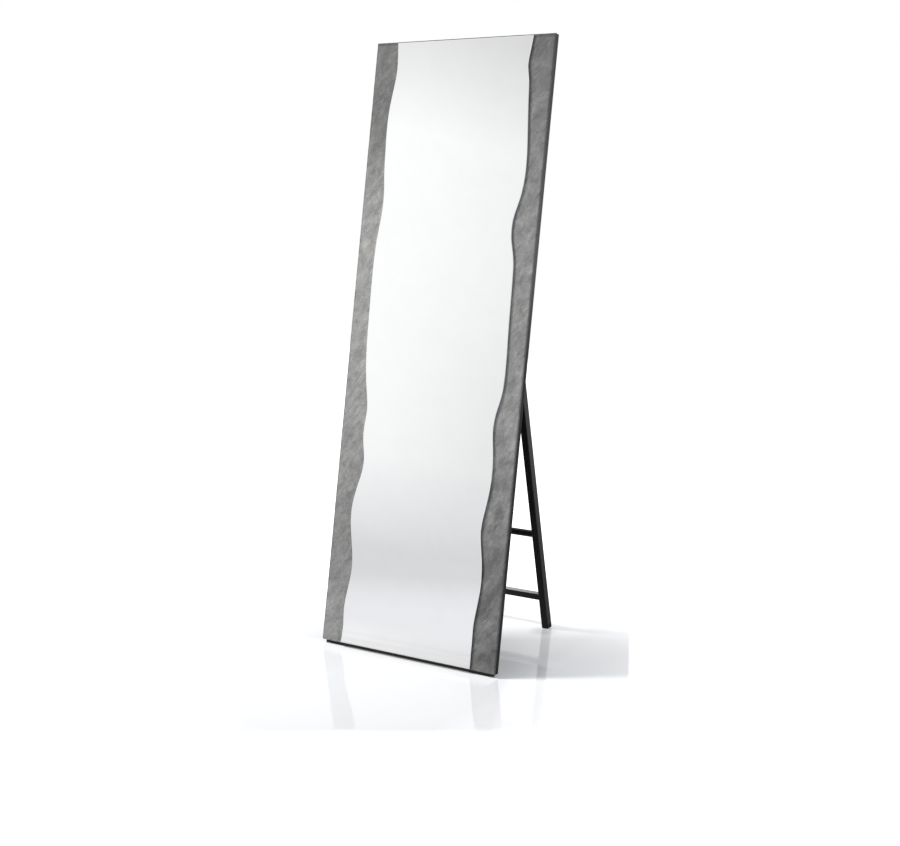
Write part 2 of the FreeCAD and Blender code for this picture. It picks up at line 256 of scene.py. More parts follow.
def mirror_pane():
    """The mirror: rings of its outline from the back, over the edge and the bevel, to the front."""
    left = wavy_side(left_wave_shares, -1)
    right = wavy_side(right_wave_shares, 1)
    outline = right + left[::-1]
    rings = (
        (0, glass_back),
        (0, glass_front + bevel_depth + edge_break),
        (edge_break, glass_front + bevel_depth),
        (bevel_width, glass_front),
    )
    points = []
    for distance, n in rings:
        points += [on_panel(x, n, v) for x, v in inset_outline(outline, distance)]
    count = len(outline)
    faces = []
    for ring in range(len(rings) - 1):
        low, high = ring * count, (ring + 1) * count
        for i in range(count):
            after = (i + 1) % count
            faces.append((low + i, low + after, high + after, high + i))
    rim_faces = len(faces)
    bevel_start = rim_faces - count
    for base in ((len(rings) - 1) * count, 0):
        for i in range(wave_samples):
            faces.append((base + i, base + i + 1, base + count - 2 - i, base + count - 1 - i))
    pane = new_piece("mirror_pane", points, faces, pane_sharp_degrees)
    for material in (mirror_face(), glass_edge(), mirror_back()):
        pane.data.materials.append(material)
    for polygon in pane.data.polygons:
        if polygon.index < bevel_start:
            polygon.material_index = 1
        elif polygon.index >= rim_faces + wave_samples:
            polygon.material_index = 2
    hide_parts("mirror_glass")
    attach(pane, "panel")


def cleft_depth(x, v):
    """How far the riven face lies behind the front plane: low ledges with fine ripples."""
    along = x * math.cos(cleft_angle) + v * math.sin(cleft_angle)
    across = v * math.cos(cleft_angle) - x * math.sin(cleft_angle)
    wander = noise.noise(Vector((x, v, wander_layer)) / wander_size) * ledge_width
    spot = Vector(((across + wander) / ledge_width, along / ledge_length, 0))
    level = noise.fractal(spot, *ledge_fractal)
    level = (0.5 + 0.5 * max(-1.0, min(1.0, level * ledge_contrast))) * ledge_levels
    step = math.floor(level)
    ledge = (step + smooth_step(level - step, ledge_edge_start, 1.0)) * ledge_step
    ripple = noise.noise(Vector((across / ripple_width, along / ripple_length, ripple_layer)))
    return ledge + ripple_depth * (0.5 + 0.5 * ripple)


def even_steps(low, high, step):
    """Places from low to high, evenly spaced at about one step."""
    count = max(1, round((high - low) / step))
    return [low + (high - low) * i / count for i in range(count + 1)]


def slate_panel():
    """The slate sheet: riven where it shows, flat behind the mirror, its arris worn unevenly."""
    inner = half_width - strip_width
    columns = even_steps(-half_width + arris_width, -inner, grid_step)
    columns += even_steps(inner, half_width - arris_width, grid_step)
    rows = even_steps(front_lift + arris_width, panel_height - arris_width, grid_step)
    xs = [-half_width] + columns + [half_width]
    vs = [front_lift] + rows + [panel_height]
    points = []
    for j, v in enumerate(vs):
        for i, x in enumerate(xs):
            on_rim = i in (0, len(xs) - 1) or j in (0, len(vs) - 1)
            near_rim = i in (1, len(xs) - 2) or j in (1, len(vs) - 2)
            wear = 0.5 + 0.5 * noise.noise(Vector((x, v, arris_layer)) / arris_wear_size)
            fade = smooth_step(abs(x), inner, inner + 2 * grid_step)
            depth = cleft_depth(x, v) * fade
            if on_rim:
                depth += arris_depth * (1.0 + arris_wear_share * wear)
            elif near_rim:
                depth += arris_depth * inner_arris_share * wear
            points.append(on_panel(x, slate_front + depth, v))
    wide, high = len(xs), len(vs)
    faces = []
    for j in range(high - 1):
        for i in range(wide - 1):
            low = j * wide + i
            faces.append((low, low + 1, low + wide + 1, low + wide))
    rim = list(range(wide))
    rim += [j * wide + wide - 1 for j in range(1, high)]
    rim += [(high - 1) * wide + i for i in range(wide - 2, -1, -1)]
    rim += [j * wide for j in range(high - 2, 0, -1)]
    back = []
    for index in rim:
        back.append(len(points))
        points.append(on_panel(xs[index % wide], slate_back, vs[index // wide]))
    for k in range(len(rim)):
        after = (k + 1) % len(rim)
        faces.append((rim[k], rim[after], back[after], back[k]))
    faces.append(tuple(back))
    slab = new_piece("slate_panel", points, faces, slate_sharp_degrees)
    slab.data.materials.append(riven_slate_painted_shade())
    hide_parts("slate_sheet")
    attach(slab, "panel")


# Materials: where a cloud's dark and light parts lie, and how alike the rounded and the plain
# normal are on the flat and at an edge
cloud_low = 0.3
cloud_high = 0.7
flat_to_edge = (0.995, 0.90)
bevel_samples = 6

# Slate: sizes of its patterns along X, Y and Z, its rim and relief
blotch_size = (24 * mm, 60 * mm, 13 * mm)
broad_size = (52 * mm, 200 * mm, 32 * mm)
stroke_size = (15 * mm, 30 * mm, 4.5 * mm)
scuff_size = (22 * mm, 60 * mm, 2.4 * mm)
tint_size = (34 * mm, 90 * mm, 26 * mm)
speckle_size = 3.2 * mm
slate_grain_size = 0.9 * mm
pit_size = 11 * mm
slate_relief = 0.35 * mm
rim_width = 5 * mm
side_rim_tone = 0.66
top_rim_tone = 0.70
scuff_angle = math.radians(46)
scuff_radius = 30 * mm
scuff_share = 0.55
scuff_spots = ((0.256, 0.420), (0.260, 0.140), (-0.262, 0.795), (-0.268, 0.060))

# Slate: its colours, and painted shade from the floor (0) to the panel's top (1) on either side
slate_tones = (
    (0.26, (0.222, 0.221, 0.217)),
    (0.50, (0.319, 0.318, 0.313)),
    (0.74, (0.426, 0.425, 0.419)),
)
warm_slate = (0.332, 0.323, 0.300)
green_slate = (0.274, 0.289, 0.274)
scuff_colour = (0.46, 0.455, 0.44)
pit_colour = 0.13
left_painted_shade = ((0.00, 0.94), (0.20, 0.72), (0.38, 0.90), (0.70, 1.00), (0.87, 0.56), (1.00, 0.58))
right_painted_shade = ((0.00, 0.54), (0.16, 0.54), (0.40, 0.93), (0.70, 0.98), (0.86, 0.86), (1.00, 0.66))

# Slate: where the left side's painted shade gives way to the right side's, and the lower part of the
# right side, which is more uneven, in metres across and up
across_middle = (-0.2, 0.2)
right_half = (0.0, 0.2)
lower_part = (0.7, 0.35)

# Slate: which part of a pattern is tinted, scuffed or pitted, and how much of it shows
warm_part = (0.52, 0.66, 0.0, 0.45)
green_part = (0.46, 0.34, 0.0, 0.40)
scuffed_part = (0.50, 0.64)
pitted_part = (0.14, 0.05, 0.0, 0.40)

# Mirror, its edge with its painted shade, and the paint on its back
haze_size = (90 * mm, 90 * mm, 60 * mm)
haze_angle = math.radians(30)
clean_silver = (0.952, 0.957, 0.957)
hazed_silver = (0.935, 0.940, 0.943)
edge_patch_size = 14 * mm
grind_size = 0.6 * mm
grind_depth = 0.05 * mm
glass_edge_painted_shade = ((0.08, 0.07), (0.16, 0.07), (0.26, 0.90), (0.80, 1.0), (0.90, 0.30), (1.0, 0.42))
spray_size = 2 * mm
spray_depth = 0.06 * mm

# Black paint on wood, and matt paint on the board
paint_flow_size = 16 * mm
paint_flow_depth = 0.25 * mm
paint_grain_depth = 0.10 * mm
paint_patch_size = 22 * mm
paint_wear_width = 1.2 * mm
worn_paint = 0.045
peel_size = 2.6 * mm
peel_depth = 0.18 * mm
board_cloud_size = (120 * mm, 120 * mm, 90 * mm)
board_rub_size = (70 * mm, 70 * mm, 4 * mm)
board_rub_angle = math.radians(20)
rubbed_board = 0.05

# Painted highlight on the lower rung's top face: depths below the face at which it starts and is full,
# and its two tones
rung_top_start = 0.6 * mm
rung_top_full = 0.2 * mm
rung_top_highlight_tones = (0.40, 0.49)

# Edge banding, with painted shade and sheen from the floor (0) to the panel's top (1)
pressed_size = (1.2 * mm, 1.2 * mm, 3.5 * mm)
pressed_depth = 0.10 * mm
band_tone_size = (40 * mm, 40 * mm, 160 * mm)
band_edge_width = 0.5 * mm
band_edge_colour = 0.11
band_painted_shade_and_sheen_strength = 2.0
band_painted_shade_and_sheen = (
    (0.10, 0.14),
    (0.46, 0.04),
    (0.58, 0.42),
    (0.67, 0.84),
    (0.75, 0.70),
    (0.90, 0.16),
    (1.00, 0.12),
)
rubbed_part = (0.48, 0.62)

# Zinc and rubber
dull_size = 9 * mm
brush_depth = 0.03 * mm
hinge_brush_size = (14 * mm, 0.7 * mm, 0.7 * mm)
screw_brush_size = 0.7 * mm
rubber_grain_size = 0.8 * mm
rubber_grain_depth = 0.08 * mm
dust_size = 12 * mm

# Grain along the legs and along the rails
upright_grain = (1.3 * mm, 1.3 * mm, 45 * mm)
across_grain = (45 * mm, 1.3 * mm, 1.3 * mm)

# Hidden sheets and dowels: the dark and the light tone of each, and its grain
film_tones = ((0.13, 0.14, 0.15), (0.18, 0.19, 0.20))
tape_tones = ((0.66, 0.66, 0.62), (0.80, 0.80, 0.77))
bed_tones = ((0.38, 0.38, 0.36), (0.50, 0.50, 0.47))
beech_tones = ((0.50, 0.37, 0.24), (0.68, 0.53, 0.37))
fine_grain = 3 * mm
film_grain_depth = 0.03 * mm
tape_grain_depth = 0.15 * mm
bed_grain_depth = 0.2 * mm
beech_grain_depth = 0.1 * mm


class Nodes:
    """One tree of shader nodes, and short ways to make and link them."""

    def __init__(self, tree):
        self.tree = tree

    def put(self, node, socket, value):
        """Link a socket to a node's input, or set the input's own value."""
        if isinstance(value, bpy.types.NodeSocket):
            self.tree.links.new(value, node.inputs[socket])
        else:
            node.inputs[socket].default_value = value

    def node(self, kind, inputs=(), **settings):
        made = self.tree.nodes.new(kind)
        for name, value in settings.items():
            setattr(made, name, value)
        for socket, value in inputs:
            self.put(made, socket, value)
        return made

    def spot(self):
        """The point that is shaded, in the object's own coordinates."""
        return self.node("ShaderNodeTexCoord").outputs["Object"]

    def xyz(self, vector):
        return self.node("ShaderNodeSeparateXYZ", ((0, vector),)).outputs

    def place(self, size, turn=(0, 0, 0)):
        """Object coordinates turned, then divided by the size of the pattern along each axis."""
        if isinstance(size, float):
            size = (size, size, size)
        inputs = (("Vector", self.spot()), ("Rotation", turn), ("Scale", size))
        return self.node("ShaderNodeMapping", inputs, vector_type="TEXTURE").outputs["Vector"]

    def cloud(self, place, detail=3.0, roughness=0.55, distortion=0.0):
        inputs = (
            ("Vector", place),
            ("Scale", 1.0),
            ("Detail", detail),
            ("Roughness", roughness),
            ("Distortion", distortion),
        )
        return self.node("ShaderNodeTexNoise", inputs).outputs["Fac"]

    def cells(self, place):
        """How far a point is from the nearest of many scattered ones."""
        inputs = (("Vector", place), ("Scale", 1.0))
        return self.node("ShaderNodeTexVoronoi", inputs).outputs["Distance"]

    def span(self, value, low, high, to_low=0.0, to_high=1.0):
        """A value stretched from one range onto another, and held within it."""
        inputs = ((0, value), (1, low), (2, high), (3, to_low), (4, to_high))
        return self.node("ShaderNodeMapRange", inputs).outputs["Result"]

    def span_degrees(self, angle, low, high, to_low=0.0, to_high=1.0):
        """The same for an angle, with its range in degrees."""
        return self.span(angle, math.radians(low), math.radians(high), to_low, to_high)

    def vary(self, cloud, to_low, to_high):
        """A cloud stretched between two values."""
        return self.span(cloud, cloud_low, cloud_high, to_low, to_high)

    def maths(self, operation, first, second=0.0):
        return self.node("ShaderNodeMath", ((0, first), (1, second)), operation=operation).outputs[0]

    def add(self, first, second):
        return self.maths("ADD", first, second)

    def times(self, first, second):
        return self.maths("MULTIPLY", first, second)

    def measure(self, operation, first, second=(0, 0, 0)):
        """One number from two vectors, such as their distance."""
        made = self.node("ShaderNodeVectorMath", ((0, first), (1, second)), operation=operation)
        return made.outputs["Value"]

    def mix(self, share, first, second, mode="MIX"):
        inputs = ((0, share), (6, first), (7, second))
        made = self.node("ShaderNodeMix", inputs, data_type="RGBA", blend_type=mode)
        return made.outputs[2]

    def ramp(self, value, stops):
        made = self.node("ShaderNodeValToRGB", (("Fac", value),))
        elements = made.color_ramp.elements
        while len(elements) < len(stops):
            elements.new(0.5)
        for element, (position, colour) in zip(elements, stops):
            element.position = position
            element.color = rgba(colour)
        return made.outputs["Color"]

    def two_tones(self, cloud, dark, light):
        return self.ramp(cloud, ((cloud_low, dark), (cloud_high, light)))

    def bump(self, height, depth, strength=1.0, normal=None):
        inputs = [("Height", height), ("Distance", depth), ("Strength", strength)]
        if normal is not None:
            inputs.append(("Normal", normal))
        return self.node("ShaderNodeBump", inputs).outputs["Normal"]

    def rays(self):
        """Whether a ray is the camera's own, and whether gloss or glass has sent it on."""
        path = self.node("ShaderNodeLightPath").outputs
        bounced = self.maths("MAXIMUM", path["Is Glossy Ray"], path["Is Transmission Ray"])
        return path["Is Camera Ray"], bounced


class Surface(Nodes):
    """A material in the making: a Principled shader and the textures that feed it."""

    def __init__(self, name, roughness=0.5, metallic=0.0, specular=0.5):
        self.material = bpy.data.materials.new(name)
        self.material.use_nodes = True
        super().__init__(self.material.node_tree)
        self.shader = self.tree.nodes["Principled BSDF"]
        self.put(self.shader, "Roughness", roughness)
        self.put(self.shader, "Metallic", metallic)
        self.put(self.shader, "Specular IOR Level", specular)

    def finish(self, **sockets):
        for name, value in sockets.items():
            self.put(self.shader, name.replace("_", " ").title(), value)
        return self.material


def rgba(colour):
    """A colour with its alpha, from three numbers or from one grey."""
    if isinstance(colour, (int, float)):
        colour = (colour, colour, colour)
    return tuple(colour) + (1.0,)


def across_and_up(s):
    """How far a point of the object is across, and above the floor."""
    parts = s.xyz(s.spot())
    return parts["X"], parts["Z"]


def share_up(s):
    """How high a point of the object is, as a share of the leaning panel's height."""
    return s.maths("DIVIDE", across_and_up(s)[1], panel_top)


def edge_mask(s, width):
    """Where a surface is within a width of a sharp edge."""
    rounded = s.node("ShaderNodeBevel", (("Radius", width),), samples=bevel_samples).outputs["Normal"]
    plain = s.node("ShaderNodeNewGeometry").outputs["Normal"]
    return s.span(s.measure("DOT_PRODUCT", rounded, plain), *flat_to_edge)


def slate_painted_shade_and_rim(s):
    """A darker rim, and painted shade that changes with height from one part of the sheet to another.
    """
    x, height = across_and_up(s)
    side_start, side_full = half_width - rim_width, half_width - 0.3 * rim_width
    top_start, top_full = panel_top - 1.3 * rim_width, panel_top - 0.7 * rim_width
    side_rim = s.span(s.maths("ABSOLUTE", x), side_start, side_full, 1.0, side_rim_tone)
    top_rim = s.span(height, top_start, top_full, 1.0, top_rim_tone)
    rim = s.maths("MINIMUM", side_rim, top_rim)
    up = share_up(s)
    painted_shade = s.mix(s.span(x, *across_middle), s.ramp(up, left_painted_shade), s.ramp(up, right_painted_shade))
    return s.times(painted_shade, rim)


def scuffs(s):
    """Short light strokes that rise to the right, in a few worn spots."""
    place = s.spot()
    strokes = s.cloud(s.place(scuff_size, (0, -scuff_angle, 0)), 3, 0.6)
    near = 0.0
    for x, v in scuff_spots:
        away = s.measure("DISTANCE", place, on_panel(x, slate_front, v))
        near = s.maths("MAXIMUM", s.span(away, scuff_radius, 0.4 * scuff_radius), near)
    return s.times(s.span(strokes, *scuffed_part), near)


def riven_slate_painted_shade():
    """Grey slate: soft blotches and short strokes that rise to the right, warm and green tints, and
    painted shade by height.
    """
    s = Surface("riven_slate_painted_shade", specular=0.35)
    turn = (0, -cleft_angle, 0)
    blotches = s.cloud(s.place(blotch_size, turn), 4, 0.62, 0.5)
    strokes = s.cloud(s.place(stroke_size, (0, -scuff_angle, 0)), 3, 0.55)
    speckle = s.cloud(s.place(speckle_size), 3, 0.6)
    broad = s.cloud(s.place(broad_size, turn), 2, 0.5)
    grain = s.cloud(s.place(slate_grain_size), 2, 0.7)
    tint = s.cloud(s.place(tint_size), 2, 0.5)
    stone = s.ramp(blotches, slate_tones)
    stone = s.mix(s.span(tint, *warm_part), stone, rgba(warm_slate))
    stone = s.mix(s.span(tint, *green_part), stone, rgba(green_slate))
    x, height = across_and_up(s)
    foot_right = s.times(s.span(x, *right_half), s.span(height, *lower_part))
    dark = s.span(foot_right, 0.0, 1.0, 0.85, 0.68)
    light = s.span(foot_right, 0.0, 1.0, 1.15, 1.34)
    shade = s.times(s.vary(broad, dark, light), s.vary(strokes, 0.92, 1.08))
    shade = s.times(shade, s.vary(speckle, 0.84, 1.16))
    shade = s.times(shade, s.vary(grain, 0.94, 1.06))
    # Painted shade: the slate darkens toward its top on both sides, toward its foot on the right, and
    # a little low on the left
    shade = s.times(shade, slate_painted_shade_and_rim(s))
    stone = s.mix(1.0, stone, shade, "MULTIPLY")
    stone = s.mix(s.times(scuffs(s), scuff_share), stone, rgba(scuff_colour))
    pits = s.cells(s.place(pit_size))
    stone = s.mix(s.span(pits, *pitted_part), stone, rgba(pit_colour))
    relief = s.times(strokes, 0.5)
    for pattern, share in ((grain, 0.4), (speckle, 0.7), (blotches, 1.5)):
        relief = s.add(relief, s.times(pattern, share))
    return s.finish(
        base_color=stone,
        roughness=s.vary(blotches, 0.52, 0.70),
        normal=s.bump(relief, slate_relief, 0.8),
    )


def mirror_face():
    """Silvered glass: bright and flat, with the faintest haze left by cleaning."""
    s = Surface("silvered_glass", metallic=1.0)
    haze = s.cloud(s.place(haze_size, (0, haze_angle, 0)), 4, 0.6, 0.8)
    colour = s.mix(s.span(haze, 0.35, 0.7), rgba(clean_silver), rgba(hazed_silver))
    return s.finish(base_color=colour, roughness=s.vary(haze, 0.010, 0.022))


def glass_edge():
    """The pane's ground edge: pale grey green, with painted shade that makes it dark near the floor
    and duller at the top.
    """
    s = Surface("ground_glass_edge_painted_shade")
    patches = s.cloud(s.place(edge_patch_size), 3)
    colour = s.two_tones(patches, (0.72, 0.75, 0.74), (0.82, 0.85, 0.84))
    # Painted shade along the edge by height: dark near the floor, duller near the top
    colour = s.mix(1.0, colour, s.ramp(share_up(s), glass_edge_painted_shade), "MULTIPLY")
    grind = s.cloud(s.place(grind_size), 2)
    return s.finish(
        base_color=colour,
        roughness=s.vary(patches, 0.22, 0.34),
        normal=s.bump(grind, grind_depth, 0.4),
    )


def mirror_back():
    """Grey protective paint behind the silver."""
    s = Surface("mirror_backing_paint")
    spray = s.cloud(s.place(spray_size), 3)
    colour = s.two_tones(spray, (0.15, 0.16, 0.17), (0.19, 0.20, 0.21))
    return s.finish(base_color=colour, roughness=0.5, normal=s.bump(spray, spray_depth, 0.5))


def black_paint(name, grain_size, turn=(0, 0, 0), painted_top_highlight=False):
    """Satin black paint on close-grained wood, rubbed a little lighter along its edges, and with a
    painted highlight on a top face when asked.
    """
    s = Surface(name, specular=0.28)
    grain = s.cloud(s.place(grain_size, turn), 4, 0.6)
    flow = s.cloud(s.place(paint_flow_size), 2)
    worn = edge_mask(s, paint_wear_width)
    patchy = s.span(s.cloud(s.place(paint_patch_size), 3), 0.45, 0.65)
    colour = s.two_tones(grain, (0.0075, 0.0075, 0.008), (0.013, 0.013, 0.0135))
    colour = s.mix(s.times(worn, s.times(patchy, 0.5)), colour, rgba(worn_paint))
    # Painted highlight: the lower rung's top face is light grey over the black paint, standing in for
    # light on it
    if painted_top_highlight:
        colour = s.mix(painted_rung_highlight_mask(s), colour, s.two_tones(grain, *rung_top_highlight_tones))
    normal = s.bump(flow, paint_flow_depth, 0.3, s.bump(grain, paint_grain_depth, 0.6))
    return s.finish(base_color=colour, roughness=s.vary(grain, 0.30, 0.42), normal=normal)


def painted_rung_highlight_mask(s):
    """Where a point is on the lower rung's top face, which gets a painted highlight."""
    low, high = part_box("rung_lower")
    up_y, up_z = -math.sin(splay), math.cos(splay)
    middle = up_y * (low[1] + high[1]) / 2 + up_z * (low[2] + high[2]) / 2
    parts = s.xyz(s.spot())
    rise = s.add(s.times(parts["Y"], up_y), s.times(parts["Z"], up_z))
    top = middle + lower_rung_height / 2
    return s.span(rise, top - rung_top_start, top - rung_top_full)


def painted_board():
    """Matt black paint sprayed on fibreboard."""
    s = Surface("black_board", specular=0.3)
    peel = s.cloud(s.place(peel_size), 2, 0.5)
    cloudy = s.cloud(s.place(board_cloud_size), 3)
    rub = s.cloud(s.place(board_rub_size, (0, board_rub_angle, 0)), 3)
    colour = s.two_tones(cloudy, (0.014, 0.014, 0.015), (0.028, 0.028, 0.029))
    colour = s.mix(s.span(rub, 0.66, 0.74, 0.0, 0.25), colour, rgba(rubbed_board))
    return s.finish(
        base_color=colour,
        roughness=s.vary(cloudy, 0.50, 0.62),
        normal=s.bump(peel, peel_depth, 0.7),
    )


def edge_banding():
    """Charcoal edging with a fine pressed texture, and painted shade and sheen that change with
    height.
    """
    s = Surface("charcoal_banding_painted_shade_and_sheen", specular=0.3)
    pressed = s.cloud(s.place(pressed_size), 3)
    tone = s.cloud(s.place(band_tone_size), 3)
    colour = s.two_tones(tone, (0.040, 0.041, 0.043), (0.055, 0.056, 0.058))
    up = share_up(s)
    rubbed = s.span(up, *rubbed_part)
    # Painted shade and sheen: darker toward the floor and the top, lighter a little above the middle
    wear = s.times(s.ramp(up, band_painted_shade_and_sheen), band_painted_shade_and_sheen_strength)
    colour = s.mix(1.0, colour, wear, "MULTIPLY")
    worn = s.times(edge_mask(s, band_edge_width), s.span(rubbed, 0.0, 1.0, 0.1, 0.4))
    colour = s.mix(worn, colour, rgba(band_edge_colour))
    return s.finish(
        base_color=colour,
        roughness=s.add(s.vary(pressed, 0.34, 0.46), s.span(rubbed, 0.0, 1.0, 0.22, 0.0)),
        normal=s.bump(pressed, pressed_depth, 0.5),
    )


def zinc_plate(name, brush_size):
    """Bright zinc plating with light brushing and duller clouds."""
    s = Surface(name, metallic=1.0)
    lines = s.cloud(s.place(brush_size), 3, 0.6)
    dull = s.cloud(s.place(dull_size), 3)
    colour = s.two_tones(dull, (0.50, 0.50, 0.49), (0.66, 0.655, 0.64))
    rough = s.add(s.vary(lines, 0.22, 0.34), s.vary(dull, 0.0, 0.12))
    return s.finish(base_color=colour, roughness=rough, normal=s.bump(lines, brush_depth, 0.5))


def matt_rubber():
    """Matt black rubber with a little dust."""
    s = Surface("matt_rubber", specular=0.25)
    fine = s.cloud(s.place(rubber_grain_size), 2)
    dust = s.cloud(s.place(dust_size), 4)
    colour = s.ramp(dust, ((0.35, (0.011, 0.011, 0.011)), (0.75, (0.024, 0.023, 0.022))))
    return s.finish(
        base_color=colour,
        roughness=s.vary(dust, 0.58, 0.78),
        normal=s.bump(fine, rubber_grain_depth, 0.5),
    )


def plain_grained(name, dark, light, grain_size, depth, roughness=0.6):
    """Film, foam tape, adhesive and bare wood: two tones and a grain of their own."""
    s = Surface(name, roughness=roughness, specular=0.4)
    grain = s.cloud(s.place(grain_size), 4, 0.6)
    return s.finish(base_color=s.two_tones(grain, dark, light), normal=s.bump(grain, depth, 0.6))


def dress_frame():
    """A material for every piece of the frame that shows as it was built."""
    leg_paint = black_paint("black_paint_legs", upright_grain, (splay, 0, 0))
    rail_paint = black_paint("black_paint_rails", across_grain)
    hinge_zinc = zinc_plate("zinc_hinge", hinge_brush_size)
    screw_zinc = zinc_plate("zinc_screw", screw_brush_size)
    rubber = matt_rubber()
    banding = edge_banding()
    by_node = {
        "back_board": painted_board(),
        "bottom_rail": rail_paint,
        "hinge_batten": rail_paint,
        "head_rail": rail_paint,
        "rung_upper": rail_paint,
        "rung_lower": black_paint("black_paint_lower_rung_painted_highlight", across_grain, painted_top_highlight=True),
        "leg_left": leg_paint,
        "leg_right": leg_paint,
        "floor_pads": rubber,
        "foot_cap_left": rubber,
        "foot_cap_right": rubber,
        "edge_band_left": banding,
        "edge_band_right": banding,
        "edge_band_top": banding,
        "safety_film": plain_grained("vinyl_film", *film_tones, fine_grain, film_grain_depth, 0.4),
        "mirror_tape": plain_grained("foam_tape", *tape_tones, fine_grain, tape_grain_depth, 0.85),
        "slate_bed": plain_grained("adhesive", *bed_tones, fine_grain, bed_grain_depth, 0.8),
        "frame_dowels": plain_grained("bare_beech", *beech_tones, across_grain, beech_grain_depth),
    }
    for name, piece in frame["nodes"].items():
        if name.startswith("hinge_left") or name.startswith("hinge_right"):
            by_node[name] = hinge_zinc
        if name.endswith("_screws"):
            by_node[name] = screw_zinc
        if name in by_node:
            piece.data.materials.clear()
            piece.data.materials.append(by_node[name])


# Camera and lamp
camera_place = (2.21459, edge_y - 3.29743, 1.37876)
camera_turn = (math.radians(80.231), 0, math.radians(32.146))
camera_lens = 56.909
sensor_width = 36
key_place = Vector((-1.93, -1.17, 2.68))
key_aim = Vector((0.15, -0.15, 0.25))
key_size = 0.7
key_power = 24
key_spread = math.radians(90)
key_colour = (1.0, 0.99, 0.97)

# Floor, in metres from the middle of the whole mirror's footprint. The two steps are the
# directions on the floor that run toward the photo's camera and to its right.
floor_reach = 6.0
floor_colour = (0.848, 0.860, 0.878)
floor_in_mirror = 0.86
shadow_middle = (0.0, -0.45, 0.0)
foot_front = (0.210, 0.200, 0.0)
front_step = (0.532, -0.847, 0.0)
side_step = (0.909, 0.417, 0.0)

# Painted light and shade on the floor for the camera: uneven light that paints the shadow's and the
# reflection's cut-off edges, a shade zone behind the panel and a contact shadow at the right foot
# Light that the floor gives off to the camera, because the photo's floor isn't evenly white.
# Each line is a stretch of the distance that it names, then the strength at its two ends.
# Outward from the middle of the shadow: painted light that whitens the floor and fades the shadow out
near_glow = (0.42, 0.80, 0.06, 0.34)
far_glow = (0.80, 1.25, 0.0, 0.66)
# Outward from the front of the right foot: a painted contact shadow
painted_foot_contact_shadow = (0.015, 0.05, -0.17, 0.0)
# Along Y: the panel's foot, painted light on the floor close before it, a painted shade zone behind it
# from its start to its end, and a small painted shade step beyond
panel_foot = (-0.236, -0.242)
before_panel_glow = (-0.325, -0.250, 0.0, 0.18)
painted_shade_zone_start = (-0.236, -0.230, 0.0, -0.05)
painted_shade_zone_end = (-0.095, -0.074, 0.0, 0.18)
painted_shade_rear_step = (-0.032, -0.018, 0.0, -0.045)
# Along X: the panel's side, where the painted shade zone behind the panel fades out, and two small
# painted steps, one lighter and one darker
panel_side = (0.315, 0.305)
painted_shade_zone_fade = (0.30, 0.42, 1.0, 0.0)
right_step = (0.35, 0.40, 0.0, 0.04)
far_right_step = (0.42, 0.50, 0.0, -0.03)
# Toward the camera: the shadow's front edge, a little painted light toward it, and painted light where
# the panel's reflection is cut off
shadow_front = (0.340, 0.380)
shadow_edge_glow = (0.20, 0.32, 0.0, 0.03)
reflection_cut_glow = (0.735, 0.765, 0.0, 0.15)
# To the camera's right: painted light beside the panel's reflection, and painted light where the
# shadow is cut off
reflection_side_glow = (0.195, 0.225, -0.02, 0.09)
shadow_cut_glow = (0.539, 0.547, 0.0, 0.40)

# Light that the floor gives off to the mirror and to gloss, in the same form: from the middle
# outward, by X over Y, and along Y
mirror_glow = (1.4, 2.6, 0.0, 0.50)
mirror_rear_glow = (1.2, 3.5, 0.0, 0.55)
tilt_start = (1.3, 2.0)
tilt_end = (2.6, 6.0, 1.0, 0.2)
mirror_tilt = (0.40, 0.66, -0.06, 0.05)
front_fade = (-0.6, -0.3, 1.0, 0.0)
rear_start = (-0.3, 0.0)

# Gloss of the floor toward the camera and along Y, and its tone near the mirror, across and outward
gloss_cut_off = (0.72, 0.74, 0.39, 0.0)
gloss_near_panel = (-0.75, -0.3, 0.0, 0.39)
gloss_rear_fade = (0.4, 0.7, 1.0, 0.0)
near_tone_across = (-0.45, 0.05, 0.85, 0.77)
near_tone_end = (0.7, 1.7)

# Studio that gloss and mirror see, by height (0 a little below the horizon, 1 well above it)
haze_heights = (-0.1, 0.5)
haze_tones = (
    (0.165, (0.868, 0.868, 0.892)),
    (0.182, (0.828, 0.828, 0.851)),
    (0.205, (0.722, 0.722, 0.739)),
    (0.230, (0.722, 0.722, 0.739)),
    (0.265, (0.815, 0.815, 0.827)),
    (0.335, (0.960, 0.960, 0.965)),
    (0.56, 1.03),
    (0.70, 1.03),
    (0.81, 0.79),
    (0.85, 0.78),
    (1.00, 1.00),
)

# Where that studio changes, in the floor's form: by height, or by azimuth in degrees, which
# is 0 straight before the mirror and grows toward -X
slant_azimuths = (28, 36, -0.013, 0.013)
slant_heights = (0.21, 0.24, 1.0, 0.0)
fall_azimuths = (27, 36, 1.0, 0.0)
fall_heights = (0.22, 0.33, 0.0, 0.13)
dark_gap_near_side = (4, 22, 0.30, 1.0)
dark_gap_far_side = (-12, -30, 0.30, 1.0)
tilt_azimuths = (30.4, 34.4, -0.035, 0.035)
tilt_low_heights = (0.225, 0.25)
tilt_high_heights = (0.42, 0.55, 1.0, 0.4)
white_side = (40, 52)
front_half = (100, 75)

# The even grey that matt surfaces see
ambient = (0.425, 0.43, 0.45)


def add_camera():
    """The camera that stands where the photo's did, worked out from the panel, leg and rungs."""
    camera = bpy.data.objects.new("camera", bpy.data.cameras.new("camera"))
    camera.data.sensor_fit = "HORIZONTAL"
    camera.data.sensor_width = sensor_width
    camera.data.lens = camera_lens
    camera.location = camera_place
    camera.rotation_euler = camera_turn
    bpy.context.scene.collection.objects.link(camera)
    bpy.context.scene.camera = camera


